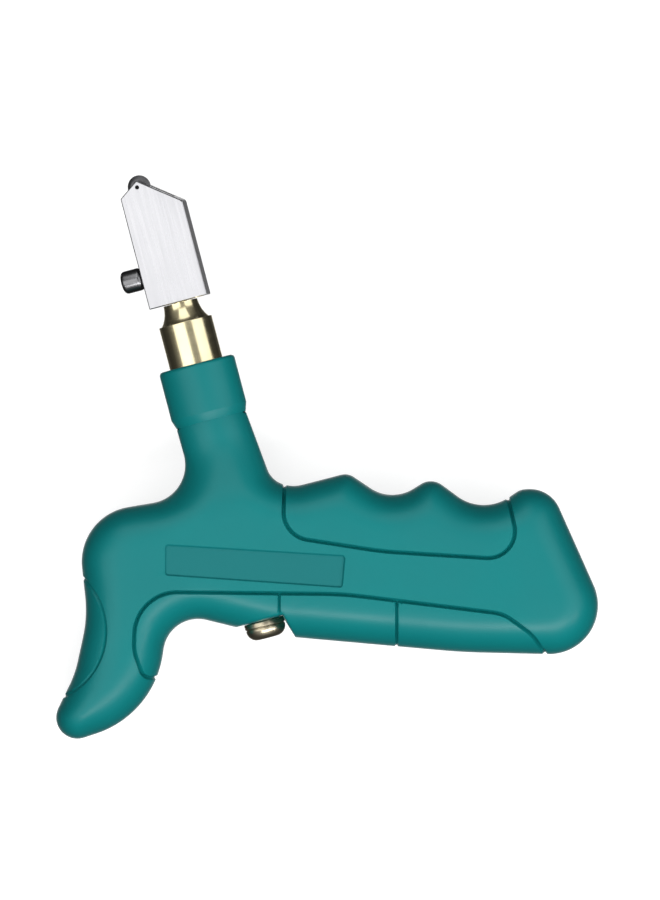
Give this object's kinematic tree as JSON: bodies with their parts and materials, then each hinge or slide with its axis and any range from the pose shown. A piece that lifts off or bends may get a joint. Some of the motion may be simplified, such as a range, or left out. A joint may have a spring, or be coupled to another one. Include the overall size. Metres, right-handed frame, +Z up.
{
  "type": "glass cutter",
  "caption": "Pistol-grip glass cutter: moulded teal handle with finger grooves, brass oil barrel and a swivelling steel plate head holding a small cutting wheel.",
  "frame": {"origin": "on the right shell's outer face, under the crossing of the barrel axis and the middle of the grip", "axes": "the tool lies on its right side: +Z is up through its thickness, +X runs from the beak to the heel of the handle, +Y runs from the handle towards the cutting wheel; the barrel leans 14.7 degrees from +Y towards -X"},
  "size_m": [0.1273, 0.1324, 0.026],
  "materials": {
    "shell_plastic": "satin moulded plastic",
    "grip_plastic": "satin moulded plastic, same colour as the shells",
    "brass": "turned and polished pale brass",
    "cap_metal": "nickel-washed brass, slightly dull",
    "head_steel": "ground and polished steel",
    "wheel_carbide": "ground tungsten carbide",
    "black_screw": "black oxide",
    "screw_steel": "zinc plated",
    "spring_steel": "drawn spring wire",
    "seal_rubber": "moulded nitrile",
    "wick_fibre": "braided cotton"
  },
  "bodies": {
    "handle": {"left_shell": "shell_plastic", "right_shell": "shell_plastic", "muzzle_collar": "shell_plastic", "thumb_pad": "grip_plastic", "finger_grip": "grip_plastic", "trigger_pad": "grip_plastic", "lower_pad_front": "grip_plastic", "lower_pad_rear": "grip_plastic", "ferrule": "brass", "reservoir_tube": "brass", "reservoir_gasket": "seal_rubber", "stem_seal": "seal_rubber", "valve_spring": "spring_steel", "shell_screw_1": "screw_steel", "shell_screw_2": "screw_steel", "shell_screw_3": "screw_steel", "shell_screw_4": "screw_steel", "shell_screw_5": "screw_steel"},
    "valve_stem": {"valve_stem": "brass", "wick": "wick_fibre"},
    "cutter_head": {"head_block": "head_steel", "wheel_axle": "black_screw"},
    "wheel": {"cutting_wheel": "wheel_carbide"},
    "lock_screw": {"head_lock_screw": "black_screw"},
    "filler_ring": {"filler_seal": "seal_rubber"},
    "filler_cap": {"filler_cap": "cap_metal"}
  },
  "joints": [
    {"name": "stem_press", "type": "slide", "parent": "handle", "child": "valve_stem", "axis": [0.2538, -0.9673, 0], "range_m": [0, 0.0001], "stiffness_N_per_m": 1000, "springref_m": -0.002, "deforming": ["valve_spring"]},
    {"name": "head_swivel", "type": "hinge", "parent": "valve_stem", "child": "cutter_head", "pos_m": [-0.01814, 0.06916, 0.013], "axis": [-0.2538, 0.9673, 0], "range_deg": [-8.5, 31.5]},
    {"name": "wheel_spin", "type": "hinge", "parent": "cutter_head", "child": "wheel", "pos_m": [-0.02583, 0.0888, 0.0125], "axis": [-0.1928, -0.0506, 0.9799], "continuous": true},
    {"name": "lock_screw_turn", "type": "hinge", "parent": "cutter_head", "child": "lock_screw", "pos_m": [-0.01814, 0.06916, 0.013], "axis": [-0.9478, -0.2487, -0.1994], "range_deg": [0, 90]},
    {"name": "cap_lift", "type": "slide", "parent": "handle", "child": "filler_ring", "axis": [0.2538, -0.9673, 0], "range_m": [0, 0.0035]},
    {"name": "cap_turn", "type": "hinge", "parent": "filler_ring", "child": "filler_cap", "pos_m": [0.00393, -0.01499, 0.013], "axis": [0.2538, -0.9673, 0], "range_deg": [0, 1270]}
  ],
  "couplings": [
    {"joint": "cap_turn", "follows": "cap_lift", "rad_per_m": 6283.2}
  ]
}
